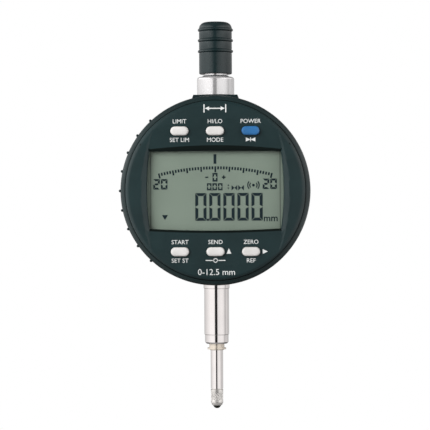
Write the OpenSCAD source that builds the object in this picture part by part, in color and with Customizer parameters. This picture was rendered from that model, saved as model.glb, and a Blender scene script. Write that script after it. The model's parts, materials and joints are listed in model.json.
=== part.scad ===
// Digital dial indicator: a round display unit that turns on a fixed base, a lift cap above it,
// and a clamping stem below it, with one spring-loaded spindle that slides up through them all.
// X runs to the right, Y from the front to the back, and Z up the spindle.
// The origin is on the spindle's axis, halfway along the part of the stem that a holder clamps.

/* [Body] */
// Diameter over the display unit's grip ring
body_d = 60; // [59.5:0.5:61]
// Depth from the spindle's axis to the flat back
back_depth = 9.5; // [9.5:0.1:10.5]
// Depth of the display unit, from the gap behind it to its front face
display_depth = 8.7; // [8.7:0.1:9.5]
// How far the display unit turns each way
display_turn = 135; // [90:5:135]

/* [Stem and spindle] */
// Diameter of the clamping stem
stem_d = 8; // [7.9:0.1:8.1]
// Diameter of the spindle
spindle_d = 4; // [3.9:0.1:4]
// Measuring range
travel = 12.5; // [10:0.5:12.5]
// Length of bare spindle between the wiper and the contact point
spindle_bare = 12.4; // [12.4:0.1:16]

/* [Lift cap] */
// Diameter of the lift cap, without its ribs
cap_d = 10.6; // [10.4:0.1:11.6]
// Height of the lift cap
cap_h = 16.9; // [16.8:0.1:18]

/* [Display face] */
// Width of the window at half its height
window_w = 42.9; // [40:0.5:43]
// Height of the window
window_h = 24.7; // [22:0.5:25]
// Width of a key
key_w = 5.7; // [5:0.1:6]
// Height of a key
key_h = 2.8; // [2.4:0.1:3]
// Distance between neighbouring keys
key_pitch = 11.15; // [10.5:0.05:11.2]
// Height of the upper row of keys above the dial's centre
upper_row = 18.65; // [18.5:0.05:19]
// Depth of the lower row of keys below the dial's centre
lower_row = 19.25; // [18.8:0.05:19.5]
// How far a key goes in when it is pressed
key_travel = 0.5; // [0.3:0.1:0.5]

/* [Battery] */
// Diameter of the coin cell
cell_d = 20; // [19:0.5:20]
// Thickness of the coin cell
cell_h = 3.2; // [2.5:0.1:3.2]
// Turn that frees the battery cover
cover_turn = 45; // [30:5:60]

/* [Hidden] */
$fn = 72;

// Fits and clearances
run = 0.04;     // radial play of a running fit
air = 0.1;      // gap beside a part that moves a little
over = 1;       // how far a cutting shape runs past the face it cuts

// Colours
body_black = [0.17, 0.22, 0.23];
rim_black = [0.20, 0.25, 0.26];
cap_black = [0.15, 0.17, 0.18];
steel = [0.80, 0.81, 0.82];
dark_steel = [0.35, 0.36, 0.38];
brass = [0.80, 0.66, 0.36];
board_green = [0.10, 0.36, 0.22];
chip_black = [0.08, 0.08, 0.09];
rubber_black = [0.06, 0.06, 0.06];
wiper_cream = [0.93, 0.88, 0.80];
key_grey = [0.87, 0.84, 0.84];
key_blue = [0.20, 0.45, 0.72];
lcd_grey = [0.49, 0.55, 0.50];

// Depths, from front to back. The spindle's axis is at depth 0.
base_front = -8;
turn_gap = 0.3;
unit_back = base_front - turn_gap;
face_y = unit_back - display_depth;
face_wall = 1.6;
face_back = face_y + face_wall;
lip = 1.5;
plate_t = 1;
plate_front = unit_back - plate_t;
base_wall = 1.6;
post_root = 0.5;
base_inside = base_front + base_wall;
recess_y = back_depth - 2;
gasket_t = 0.4;
cover_front = recess_y + gasket_t;

// Radii about the dial's axis
unit_r = body_d / 2;
bezel_r = unit_r - 1.65;
ring_in_r = unit_r - 1.5;
skirt_r = unit_r - 3;
base_r = unit_r - 0.7;
cavity_r = base_r - 2.8;
recess_r = base_r - 1.4;

// Heights about the dial's centre, from the bottom to the top of the spindle's axis
spindle_r = spindle_d / 2;
stem_r = stem_d / 2;
stem_low = -46.35;
bush_low = -49.2;
wiper_low = -51.3;
contact_top = wiper_low - spindle_bare;
barrel_low = contact_top - 5.3;
ball_r = 1.35;
ball_z = barrel_low + 0.2;
shoulder_low = -31.5;
shoulder_top = -base_r - 0.6;
block_low = -24.5;
nut_top = -22.3;
bumper_top = -20.8;
carrier_low = bumper_top + air;
carrier_h = 10;
carrier_top = carrier_low + carrier_h;
scale_top = 7.5;
tube_low = 23.5;
boss_low = 26;
boss_top = 30.7;
collar_top = 36.75;
cap_low = 37.6;
cap_top = cap_low + cap_h;
tube_top = cap_low + 13.4;
spindle_top = cap_top - 1.5;
stem_chamfer = 0.15;

// The dial's centre is this far above the middle of the clamping length
dial_z = -(stem_low + stem_chamfer + shoulder_low) / 2;

// Boss that the guide tube comes out of
boss_low_x = 8.8;
boss_top_x = 7.05;
boss_half_y = 6.5;

// Parts on the spindle's axis
thread_r = 3.6;
tube_r = 3.8;
bush_r = 3.8;
wiper_r = 2.45;
shoulder_r = 4.2;
collar_r = 6;
collar_round = 1.3;
inner_r = 2.6;
tube_bore_r = 3;
lower_bush_h = 6;
upper_bush_h = 10;

// Electronics in the base
board_front = -4.8;
board_back = -3.8;
board_edge_x = 7;
board_low = -12;
board_high = 20;
board_post_r = 1.4;
board_screw_r = 0.6;
board_screws = [[-5.5, 18.5], [5.5, 18.5], [-5.5, -10.5], [5.5, -10.5]];
strip_front = -3.5;
strip_back = -3;
arm_r = 1.6;
spring_x = -9;
stud_r = 1.2;
anchor_top = -22.6;
spring_wire_r = 0.2;
spring_turns = 12;
pin_z = carrier_low + 5.2;
pin_r = 0.8;
rail_left = 7.5;
rail_right = 11.5;
rail_low = -20.5;
rail_high = 2;
rail_screws = [[13.5, -16], [13.5, -2]];

// Battery bay
cell_r = cell_d / 2;
holder_floor = 3.7;
holder_top = 7.2;
holder_in_r = cell_r + 0.25;
holder_out_r = holder_in_r + 1.15;
cell_front = holder_floor + 0.65;
hatch_r = 11;
hatch_step_r = 12.4;
hatch_step_y = back_depth - 0.9;
hatch_lug = 23.8;
lug_h = 3.6;
ear_x = 14.5;
ear_z = 10;
ear_r = 2;
holder_screw_r = 0.7;

// Joints between the display unit and the base
hub_r = 4.4;
hub_groove_r = 3.9;
hub_bore_r = 2.8;
hub_end = -5.2;
clip_front = base_inside + air;
clip_t = 0.6;
stop_r = 13;
stop_pin_r = 0.8;
ring_groove_r = 22.7;
friction_r = 0.5;

// Screws that hold the back cover, as angles about the dial's axis, and their distance from it
back_screw_angles = [30, 150, 210, 330];
back_screw_at = 23.6;
back_screw_r = 0.95;
back_post_r = 2.2;
back_head_r = 2;

// Data port in the base's right side
port_front = -1.5;
port_back = 3.5;
port_half_h = 4.4;

// Screws that hold the display unit together
display_screw_x = 17.3;
display_screw_z = 18.6;
display_screw_r = 0.8;
post_r = 1.9;
display_screws_at = [for (x = [-1, 1], z = [-1, 1]) [x * display_screw_x, z * display_screw_z]];

// Shallow trough across the face: deepest beside the window, and gone at the rows of keys
trough_depth = 0.9;
trough_z = -0.8;
trough_half_h = 18.4;
trough_side_x = 23.4;
trough_side_r = 58;

// Window and display stack
window_z = -0.25;
window_bow = 0.85;
lens_w = window_w + 2.3;
lens_h = window_h + 2.3;
lens_corner = 1;
gasket_front = face_y + lip;
lens_front = gasket_front + 0.15;
lens_back = lens_front + 1.2;
lcd_front = lens_back + 0.25;
lcd_back = lcd_front + 1.5;
board2_front = plate_front - 1.9;
board2_back = board2_front + 1;

// Keys
switch_h = 0.8;
key_flange_t = 0.5;
key_proud = 0.8;
key_step = 0.3;
key_flange = 0.6;
plunger_r = 1;

// Radius of the circle through both ends and the top of a bow
function bow_radius(width, rise) = (width * width / 4 + rise * rise) / (2 * rise);

// Points of an arc, from one angle to another
function arc(x, y, rx, ry, from, to, steps = 8) =
    [for (i = [0:steps]) let (a = from + (to - from) * i / steps) [x + rx * cos(a), y + ry * sin(a)]];

// Draws about the dial's centre
module at_dial() {
    translate([0, 0, dial_z]) children();
}

// A flat outline in X and Z, made into a plate between two depths
module plate(front, back) {
    translate([0, back, 0]) rotate([90, 0, 0]) linear_extrude(height = back - front) children();
}

// An outline of radius and depth, turned about the dial's axis
module about_dial_axis() {
    rotate([-90, 0, 0]) rotate_extrude() children();
}

module y_rod(x, z, r, front, back) {
    translate([x, front, z]) rotate([-90, 0, 0]) cylinder(r = r, h = back - front);
}

module z_rod(r, low, high) {
    translate([0, 0, low]) cylinder(r = r, h = high - low);
}

module z_tube(r, bore_r, low, high) {
    difference() {
        z_rod(r, low, high);
        z_rod(bore_r, low - over, high + over);
    }
}

module box(low, high) {
    translate(low) cube(high - low);
}

// A bar with round ends, lying along X
module pill(w, h) {
    square([w - h, h], center = true);
    for (side = [-1, 1]) translate([side * (w - h) / 2, 0]) circle(d = h);
}

module rounded_rectangle(w, h, r) {
    square([w - 2 * r, h], center = true);
    square([w, h - 2 * r], center = true);
    for (x = [-1, 1], z = [-1, 1]) translate([x * (w / 2 - r), z * (h / 2 - r)]) circle(r = r);
}

// The window: straight above and below, with sides that bow outwards
module window_outline() {
    side_r = bow_radius(window_h, window_bow);
    intersection() {
        square([window_w, window_h], center = true);
        for_both_sides(side_r - window_w / 2) circle(r = side_r);
    }
}

// The part of two mirrored outlines, moved apart along X, that both cover
module for_both_sides(x) {
    intersection() {
        translate([x, 0]) children();
        translate([-x, 0]) children();
    }
}

// Raises or lowers a flat outline to the middle of the window
module at_window() {
    translate([0, window_z]) children();
}

// The trough across the face, as a cutting shape
module face_trough() {
    trough_r = bow_radius(2 * trough_half_h, trough_depth);
    intersection() {
        translate([0, face_y + trough_depth - trough_r, trough_z]) rotate([0, 90, 0])
            cylinder(r = trough_r, h = 3 * trough_side_x, center = true, $fn = 720);
        plate(face_y - over, face_y + over) translate([0, trough_z])
            for_both_sides(trough_side_r - trough_side_x) circle(r = trough_side_r);
    }
}

// A screw with a flat head, along Y; its head faces the back
module pan_screw(x, z, head_r, shank_r, tip, seat, head_h) {
    difference() {
        union() {
            y_rod(x, z, shank_r, tip, seat);
            y_rod(x, z, head_r, seat, seat + head_h);
        }
        translate([x, seat + head_h, z]) cube([2 * head_r, head_h, 0.35 * head_r], center = true);
    }
}

// --- Fixed base ---

module top_boss() {
    plate(-boss_half_y, boss_half_y) polygon([
        [-boss_low_x, boss_low], [boss_low_x, boss_low], [boss_top_x, boss_top], [-boss_top_x, boss_top]
    ]);
}

module base_shell() {
    about_dial_axis() polygon([
        [0, base_front], [base_r, base_front], [base_r, back_depth - 0.8], [base_r - 0.8, back_depth],
        [recess_r, back_depth], [recess_r, recess_y], [cavity_r, recess_y], [cavity_r, base_inside],
        [0, base_inside]
    ]);
}

module base_posts() {
    root = base_inside - post_root;
    for (a = back_screw_angles)
        y_rod(back_screw_at * cos(a), back_screw_at * sin(a), back_post_r, root, recess_y);
    for (p = board_screws)
        y_rod(p[0], p[1], board_post_r, root, board_front);
    for (side = [-1, 1])
        y_rod(side * ear_x, ear_z, ear_r, root, holder_floor);
}

module base_holes() {
    z_rod(thread_r, -base_r - 2, block_low + over);
    z_rod(tube_r, tube_low - over, boss_top + over);
    y_rod(0, 0, hub_r + run, base_front - over, base_inside + over);
    y_rod(0, -stop_r, stop_pin_r, base_front - over, base_inside + over);
    // Groove for the friction ring
    about_dial_axis() translate([ring_groove_r, base_front]) square([1.4, 1.6], center = true);
    for (a = back_screw_angles)
        y_rod(back_screw_at * cos(a), back_screw_at * sin(a), back_screw_r, 2, recess_y + over);
    for (p = board_screws)
        y_rod(p[0], p[1], board_screw_r, base_inside, board_front + over);
    for (p = rail_screws)
        y_rod(p[0], p[1], board_screw_r, base_inside - 0.9, base_inside + over);
    for (side = [-1, 1])
        y_rod(side * ear_x, ear_z, holder_screw_r, 0, holder_floor + over);
    // Opening of the data port
    box([cavity_r - 2, port_front - air, -port_half_h - air],
        [base_r + over, port_back + air, port_half_h + air]);
}

module base_housing() {
    color(body_black) at_dial() difference() {
        union() {
            base_shell();
            top_boss();
            base_posts();
            z_rod(6, tube_low, 27.5);
            z_rod(5.5, shoulder_top, block_low);
        }
        base_holes();
    }
}

module back_cover() {
    color(body_black) at_dial() difference() {
        plate(cover_front, back_depth) circle(r = recess_r - 0.05);
        y_rod(0, 0, hatch_r, cover_front - over, back_depth + over);
        y_rod(0, 0, hatch_step_r, hatch_step_y, back_depth + over);
        // Notches that let the battery cover's lugs out once it has turned
        plate(cover_front - over, back_depth + over) rotate(-cover_turn)
            square([hatch_lug + 0.6, lug_h + 1], center = true);
        for (a = back_screw_angles) translate([back_screw_at * cos(a), 0, back_screw_at * sin(a)]) {
            y_rod(0, 0, back_screw_r + air, cover_front - over, back_depth + over);
            translate([0, back_depth - 1.2, 0]) rotate([-90, 0, 0])
                cylinder(r1 = back_screw_r + air, r2 = back_head_r + 2 * air, h = 1.2);
        }
    }
}

module back_gasket() {
    color(rubber_black) at_dial() plate(recess_y, cover_front) difference() {
        circle(r = recess_r - 0.1);
        circle(r = cavity_r + 0.1);
    }
}

module back_screws() {
    color(steel) at_dial() for (a = back_screw_angles)
        translate([back_screw_at * cos(a), 0, back_screw_at * sin(a)]) difference() {
            union() {
                y_rod(0, 0, back_screw_r, 2.5, back_depth - 1.1);
                translate([0, back_depth - 1.15, 0]) rotate([-90, 0, 0])
                    cylinder(r1 = back_screw_r, r2 = back_head_r, h = 1.05);
            }
            for (turn = [0, 90]) translate([0, back_depth, 0]) rotate([0, turn, 0])
                cube([2.2, 1.4, 0.5], center = true);
        }
}

module stem() {
    color(steel) at_dial() rotate_extrude() polygon([
        [inner_r, stem_low + lower_bush_h], [tube_bore_r, stem_low + lower_bush_h],
        [tube_bore_r, stem_low], [stem_r - stem_chamfer, stem_low], [stem_r, stem_low + stem_chamfer],
        [stem_r, shoulder_low], [shoulder_r, shoulder_low + 0.15], [shoulder_r, shoulder_top],
        [thread_r, shoulder_top], [thread_r, nut_top], [inner_r, nut_top]
    ]);
}

module stem_nut() {
    color(steel) at_dial() difference() {
        translate([0, 0, block_low]) cylinder(r = 5.6, h = nut_top - block_low, $fn = 6);
        z_rod(thread_r, block_low - over, nut_top + over);
    }
}

module lower_bush() {
    color(steel) at_dial() rotate_extrude() polygon([
        [spindle_r + run, stem_low + lower_bush_h], [tube_bore_r, stem_low + lower_bush_h],
        [tube_bore_r, stem_low], [bush_r, stem_low], [bush_r, bush_low + 0.5], [bush_r - 0.45, bush_low],
        [wiper_r, bush_low], [wiper_r, bush_low + 1], [spindle_r + run, bush_low + 1]
    ]);
}

module stem_wiper() {
    color(wiper_cream) at_dial() rotate_extrude() polygon([
        [spindle_r + run, bush_low + 1], [wiper_r, bush_low + 1], [wiper_r, wiper_low + 0.75],
        [wiper_r + 0.55, wiper_low + 0.75], [wiper_r + 0.55, wiper_low + 0.25], [wiper_r, wiper_low + 0.25],
        [wiper_r - 0.2, wiper_low], [spindle_r + run, wiper_low]
    ]);
}

module stop_bumper() {
    color(rubber_black) at_dial() z_tube(thread_r, spindle_r + 0.3, nut_top, bumper_top);
}

module guide_tube() {
    color(steel) at_dial() z_tube(tube_r, tube_bore_r, tube_low, tube_top);
}

module upper_bush() {
    color(brass) at_dial() z_tube(tube_bore_r, spindle_r + run, tube_low, tube_low + upper_bush_h);
}

module top_collar() {
    color(steel) at_dial() rotate_extrude() polygon(concat(
        [[tube_r, boss_top], [collar_r - 0.2, boss_top], [collar_r, boss_top + 0.2]],
        arc(collar_r - collar_round, collar_top - collar_round, collar_round, collar_round, 0, 90),
        [[tube_r, collar_top]]
    ));
}

module neck_seal_ring() {
    color(rubber_black) at_dial() z_tube(tube_r + 0.4, tube_r, collar_top, collar_top + 0.4);
}

// --- Measuring system in the base ---

module sensor_board() {
    color(board_green) at_dial() difference() {
        plate(board_front, board_back) translate([-board_edge_x, board_low])
            square([2 * board_edge_x - 0.2, board_high - board_low]);
        for (p = board_screws) y_rod(p[0], p[1], board_screw_r + air, board_front - over, board_back + over);
    }
}

module sensor_chips() {
    color(chip_black) at_dial() {
        plate(board_front - 0.9, board_front) translate([0, 14.2]) square(5, center = true);
        plate(board_front - 0.8, board_front) translate([0, -9.4]) square([4, 2.6], center = true);
        for (x = [-5.6, -4, 4.6, 6])
            plate(board_front - 0.5, board_front) translate([x, 11]) square([0.8, 1.6], center = true);
    }
}

module sensor_board_screws() {
    color(steel) at_dial() for (p = board_screws)
        pan_screw(p[0], p[1], 1.1, board_screw_r, base_inside + 0.3, board_back, 0.5);
}

module flex_cable() {
    color([0.72, 0.45, 0.16]) at_dial() union() {
        box([-2, plate_front + 0.1, -0.08], [2, board_front, 0.08]);
        box([-2, board_front - 0.16, -0.08], [2, board_front, 10]);
    }
}

module guide_rail() {
    color(steel) at_dial() difference() {
        union() {
            box([rail_left, base_inside, rail_low], [rail_right, 2.6, rail_high]);
            box([rail_right - 0.5, base_inside, -18], [15.4, base_inside + 1.2, 0]);
        }
        // Slot that the guide pin runs in
        box([rail_left - over, -pin_r - run, rail_low + 2], [rail_right - 0.7, pin_r + run, rail_high - 2]);
        for (p = rail_screws) y_rod(p[0], p[1], board_screw_r + air, base_inside - over, base_inside + 3);
    }
}

module guide_rail_screws() {
    color(steel) at_dial() for (p = rail_screws)
        pan_screw(p[0], p[1], 1.3, board_screw_r, base_inside - 0.8, base_inside + 1.2, 0.8);
}

module spring_anchor() {
    color(dark_steel) at_dial() {
        box([spring_x - arm_r, base_inside, anchor_top - 1], [spring_x + arm_r, arm_r, anchor_top]);
        translate([spring_x, 0, anchor_top]) cylinder(r = stud_r, h = 2);
    }
}

// One ring of points round the spring's wire, at a given share of the way up the coil
function spring_ring(share, coil_r, low, high, sides) =
    let (a = 360 * spring_turns * share, z = low + (high - low) * share)
    [for (i = [0:sides - 1]) let (b = 360 * i / sides)
        [(coil_r + spring_wire_r * cos(b)) * cos(a), (coil_r + spring_wire_r * cos(b)) * sin(a),
         z + spring_wire_r * sin(b)]];

module coil(coil_r, low, high, sides = 6, steps_a_turn = 16) {
    rings = spring_turns * steps_a_turn;
    points = [for (k = [0:rings]) each spring_ring(k / rings, coil_r, low, high, sides)];
    walls = [for (k = [0:rings - 1], i = [0:sides - 1]) let (j = (i + 1) % sides)
        [k * sides + i, (k + 1) * sides + i, (k + 1) * sides + j, k * sides + j]];
    first_end = [for (i = [0:sides - 1]) i];
    last_end = [for (i = [0:sides - 1]) rings * sides + sides - 1 - i];
    polyhedron(points, concat([first_end], walls, [last_end]));
}

module return_spring() {
    color(steel) at_dial() translate([spring_x, 0, 0])
        coil(stud_r + spring_wire_r + 0.05, anchor_top + 0.25, carrier_top - 2.2 - 0.25);
}

module friction_ring() {
    color(rubber_black) at_dial() about_dial_axis()
        translate([ring_groove_r, base_front + 0.3]) circle(r = friction_r);
}

module rotation_stop_pin() {
    color(dark_steel) at_dial() y_rod(0, -stop_r, stop_pin_r, plate_front + 0.1, base_inside);
}

// --- Battery bay ---

module battery() {
    color(steel) at_dial() about_dial_axis() polygon([
        [0, cell_front], [cell_r - 1.4, cell_front], [cell_r - 1.2, cell_front + 0.4],
        [cell_r - 0.3, cell_front + 0.4], [cell_r, cell_front + 0.7], [cell_r, cell_front + cell_h - 0.2],
        [cell_r - 0.2, cell_front + cell_h], [0, cell_front + cell_h]
    ]);
}

module battery_holder() {
    color(chip_black) at_dial() difference() {
        union() {
            y_rod(0, 0, holder_out_r, holder_floor, holder_top);
            for (side = [-1, 1]) plate(holder_floor, holder_floor + 1.3) {
                translate([side * ear_x, ear_z]) circle(r = ear_r);
                rotate(side * 34.6) translate([side * 13.3, 0]) square([6, 4], center = true);
            }
        }
        y_rod(0, 0, holder_in_r, holder_floor + 0.5, holder_top + over);
        for (side = [-1, 1])
            y_rod(side * ear_x, ear_z, holder_screw_r + air, holder_floor - over, holder_top);
    }
}

module battery_contacts() {
    color(brass) at_dial() {
        plate(holder_floor + 0.5, cell_front) square([9, 3], center = true);
        rotate([-90, 0, 0]) rotate([0, 0, 75]) rotate_extrude(angle = 30)
            translate([cell_r + 0.02, cell_front + 0.8]) square([0.2, 2]);
    }
}

module holder_screws() {
    color(steel) at_dial() for (side = [-1, 1])
        pan_screw(side * ear_x, ear_z, 1.5, holder_screw_r, 0.5, holder_floor + 1.3, 0.8);
}

module battery_cover() {
    color(body_black) at_dial() difference() {
        union() {
            y_rod(0, 0, hatch_step_r - air, hatch_step_y + 0.02, back_depth - 0.1);
            y_rod(0, 0, hatch_r - 0.1, cell_front + cell_h + 0.1, hatch_step_y + 0.5);
            // Lugs that hold under the back cover
            intersection() {
                plate(recess_y - 0.2, cover_front - 0.05) square([hatch_lug, lug_h], center = true);
                y_rod(0, 0, hatch_lug / 2, recess_y - over, recess_y + over);
            }
        }
        y_rod(0, 0, cell_r + 0.3, recess_y - over, cell_front + cell_h + 0.1);
        about_dial_axis() translate([hatch_r - 0.85, cover_front + 0.05]) square([over, 0.6]);
        // Coin slot
        plate(back_depth - 1, back_depth + over) pill(15, 2);
    }
}

module battery_cover_seal() {
    color(rubber_black) at_dial() about_dial_axis()
        translate([hatch_r - 0.45, cover_front + 0.35]) circle(r = 0.29);
}

// --- Data port in the base's right side ---

module data_socket() {
    color(chip_black) at_dial() difference() {
        box([cavity_r - 6, port_front, -port_half_h], [cavity_r + 0.4, port_back, port_half_h]);
        for (z = [-3, -1, 1, 3]) translate([cavity_r + 0.4, 1, z]) cube([0.6, 3, 1], center = true);
    }
}

module data_port_cover() {
    color(rim_black) at_dial() difference() {
        intersection() {
            y_rod(0, 0, base_r, port_front, port_back);
            box([cavity_r + 0.5, port_front, -port_half_h], [base_r + over, port_back, port_half_h]);
        }
        // Fingernail notch
        translate([base_r + 0.1, 1, -3.2]) rotate([-90, 0, 0]) cylinder(r = 0.8, h = 4, center = true);
    }
}

// --- Parts that slide with the spindle ---

module spindle() {
    color(steel) at_dial() difference() {
        z_rod(spindle_r, contact_top, spindle_top);
        z_rod(1.1, contact_top - over, contact_top + 4);
    }
}

module contact_point() {
    color(dark_steel) at_dial() difference() {
        rotate_extrude() polygon([
            [0, barrel_low], [1.5, barrel_low], [spindle_r, barrel_low + 0.7], [spindle_r, contact_top - 1],
            [1.7, contact_top - 0.6], [1.7, contact_top], [1.1, contact_top],
            [1.1, contact_top + 3.8], [0, contact_top + 3.8]
        ]);
        translate([0, 0, ball_z]) sphere(r = ball_r);
    }
}

module contact_ball() {
    color([0.25, 0.25, 0.27]) at_dial() translate([0, 0, ball_z]) sphere(r = ball_r);
}

module stop_clip() {
    clip_low = tube_low - 0.15 - travel - 0.85;
    color(dark_steel) at_dial() difference() {
        z_tube(3.4, spindle_r, clip_low, clip_low + 0.85);
        box([-0.7, 0, clip_low - over], [0.7, 4, clip_low + 2]);
    }
}

module lift_cap() {
    cap_r = cap_d / 2;
    rib_r = cap_r + 0.4;
    color(cap_black) at_dial() rotate_extrude() polygon(concat(
        [[tube_r + run + 0.04, cap_low], [cap_r - 0.4, cap_low], [cap_r, cap_low + 0.4]],
        [for (rib_z = [cap_low + 7.2, cap_low + 10.65, cap_low + 14.05])
            each [[cap_r, rib_z - 0.45], [rib_r, rib_z - 0.3], [rib_r, rib_z + 0.3], [cap_r, rib_z + 0.45]]],
        arc(cap_r - 2, cap_top - 2, 2, 2, 0, 90),
        [[0, cap_top], [0, spindle_top], [spindle_r, spindle_top], [spindle_r, tube_top + 0.3],
         [tube_r + run + 0.04, tube_top + 0.3]]
    ));
}

module scale_carrier() {
    color(dark_steel) at_dial() difference() {
        union() {
            box([-5, strip_back, carrier_low], [5, 3, carrier_top]);
            box([-3.2, strip_back, carrier_low], [3.2, -2.2, scale_top]);
            box([spring_x - arm_r, -arm_r, carrier_top - 2.2], [0, arm_r, carrier_top]);
            translate([spring_x, 0, carrier_top - 4.2]) cylinder(r = stud_r, h = 3);
            box([0, -arm_r, pin_z - 2.5], [6.8, arm_r, pin_z + 2.5]);
        }
        z_rod(spindle_r, carrier_low - over, carrier_top + over);
        translate([2.6, 0, pin_z]) rotate([0, 90, 0]) cylinder(r = pin_r, h = 6);
        for (z = [carrier_low + 2.5, carrier_low + 7.5]) y_rod(0, z, pin_r, 0, 4);
    }
}

module scale_strip() {
    color([0.75, 0.80, 0.84]) at_dial()
        box([-3, strip_front, carrier_low + 0.4], [3, strip_back, scale_top]);
}

module carrier_screws() {
    color(steel) at_dial() for (z = [carrier_low + 2.5, carrier_low + 7.5]) difference() {
        y_rod(0, z, pin_r, spindle_r, 3);
        translate([0, 2.6, z]) rotate([-90, 0, 0]) cylinder(r = 0.45, h = 1, $fn = 6);
    }
}

module guide_pin() {
    color(steel) at_dial() translate([2.6, 0, pin_z]) rotate([0, 90, 0]) cylinder(r = pin_r, h = 7.8);
}

// --- Display unit ---

module grip_ring() {
    shoulder_y = face_y + 3.8;
    color(rim_black) at_dial() {
        about_dial_axis() polygon(concat(
            [[ring_in_r, unit_back], [unit_r - 0.3, unit_back], [unit_r, unit_back - 0.3]],
            arc(ring_in_r, shoulder_y, unit_r - ring_in_r, -2, 0, 90),
            [[ring_in_r, shoulder_y - 2]]
        ));
        // Grip ribs on the left side
        for (i = [-4:4]) let (a = 180 + 11.8 * i)
            y_rod((unit_r + 0.12) * cos(a), (unit_r + 0.12) * sin(a), 0.45, shoulder_y, unit_back - 0.6);
    }
}

module key_place(column, row) {
    translate([column * key_pitch, 0, row > 0 ? upper_row : -lower_row]) children();
}

module front_cover() {
    color(body_black) at_dial() difference() {
        union() {
            about_dial_axis() polygon(concat(
                [[0, face_y], [bezel_r - 1.2, face_y]],
                arc(bezel_r - 1.2, face_y + 1.2, 1.2, 1.2, -90, 0),
                [[bezel_r, face_y + 2.6], [ring_in_r, face_y + 2.8], [ring_in_r, plate_front],
                 [skirt_r, plate_front], [skirt_r, face_back], [0, face_back]]
            ));
            for (p = display_screws_at) y_rod(p[0], p[1], post_r, face_back - post_root, plate_front);
        }
        face_trough();
        plate(face_y - over, face_back + over) at_window() window_outline();
        plate(gasket_front, face_back + over) at_window()
            rounded_rectangle(lens_w + 2 * air, lens_h + 2 * air, lens_corner + air);
        for (p = display_screws_at) y_rod(p[0], p[1], display_screw_r, face_back + 0.6, plate_front + over);
        for (row = [-1, 1], column = [-1:1]) key_place(column, row)
            plate(face_y - over, face_back + over) pill(key_w + 2 * air, key_h + 2 * air);
    }
}

module window_lens() {
    color([0.75, 0.80, 0.78, 0.4]) at_dial() plate(lens_front, lens_back) at_window()
        rounded_rectangle(lens_w, lens_h, lens_corner);
}

module window_gasket() {
    color(rubber_black) at_dial() plate(gasket_front, lens_front) at_window() difference() {
        rounded_rectangle(lens_w, lens_h, lens_corner);
        square([window_w + 0.4, window_h + 0.4], center = true);
    }
}

module lcd_panel() {
    color(lcd_grey) at_dial() plate(lcd_front, lcd_back) at_window()
        square([lens_w - 0.6, lens_h - 0.8], center = true);
}

module lcd_frame() {
    color(chip_black) at_dial() difference() {
        intersection() {
            plate(lens_back, board2_front) at_window() square([lens_w + 1.2, lens_h + 1], center = true);
            y_rod(0, 0, skirt_r - 0.2, lens_back, board2_front);
        }
        plate(lens_back - over, board2_front) at_window()
            square([window_w + 0.6, window_h + 0.6], center = true);
        plate(lcd_front, board2_front + over) at_window()
            square([lens_w - 0.4, lens_h - 0.6], center = true);
    }
}

module zebra_strips() {
    strip_h = 1.4;
    color([0.85, 0.45, 0.60]) at_dial() for (side = [-1, 1])
        plate(lcd_back, board2_front) at_window() translate([0, side * (lens_h / 2 - strip_h)])
            square([lens_w - 5.2, strip_h], center = true);
}

module display_board() {
    color(board_green) at_dial() difference() {
        plate(board2_front, board2_back) circle(r = skirt_r - 0.3);
        for (p = display_screws_at) y_rod(p[0], p[1], post_r + 0.2, board2_front - over, board2_back + over);
    }
}

module key_switches() {
    color(brass) at_dial() for (row = [-1, 1], column = [-1:1]) key_place(column, row) {
        plate(board2_front - 0.4, board2_front) circle(r = 1.9);
        plate(board2_front - switch_h, board2_front) circle(r = 1.2);
    }
}

module display_chips() {
    color(chip_black) at_dial() plate(board2_back, board2_back + 0.7) {
        translate([-14, 2]) square(7, center = true);
        translate([14, 4]) square([6, 5], center = true);
        for (i = [0:4]) translate([10 + 2 * i, -4]) square([1, 1.8], center = true);
    }
}

module display_screws() {
    color(steel) at_dial() for (p = display_screws_at)
        pan_screw(p[0], p[1], 1.5, display_screw_r, face_back + 1.2, unit_back - 0.65, 0.6);
}

module display_rear_plate() {
    half_slot = display_turn + 0.5;
    slot_r = stop_pin_r + 0.2;
    color(rim_black) at_dial() difference() {
        plate(plate_front, unit_back) circle(r = ring_in_r - 0.1);
        y_rod(0, 0, hub_r, plate_front - over, unit_back + over);
        // Slot that the stop pin runs in
        rotate([-90, 0, 0]) rotate([0, 0, 90 - half_slot]) rotate_extrude(angle = 2 * half_slot)
            translate([stop_r - slot_r, plate_front - over]) square([2 * slot_r, plate_t + 2 * over]);
        for (side = [-1, 1]) let (a = -90 + side * half_slot)
            y_rod(stop_r * cos(a), stop_r * sin(a), slot_r, plate_front - over, unit_back + over);
        for (p = display_screws_at) {
            y_rod(p[0], p[1], display_screw_r + air, plate_front - over, unit_back + over);
            y_rod(p[0], p[1], 1.6, unit_back - 0.65, unit_back + over);
        }
    }
}

module pivot_hub() {
    color(steel) at_dial() about_dial_axis() polygon([
        [hub_bore_r, plate_front - 0.7], [7, plate_front - 0.7], [7, plate_front], [hub_r, plate_front],
        [hub_r, clip_front], [hub_groove_r, clip_front], [hub_groove_r, clip_front + clip_t],
        [hub_r, clip_front + clip_t], [hub_r, hub_end], [hub_bore_r, hub_end]
    ]);
}

module retaining_ring() {
    color(dark_steel) at_dial() difference() {
        plate(clip_front, clip_front + clip_t) difference() {
            circle(r = 6.1);
            circle(r = hub_groove_r);
        }
        box([-1, clip_front - over, -8], [1, clip_front + 2, 0]);
    }
}

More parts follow.
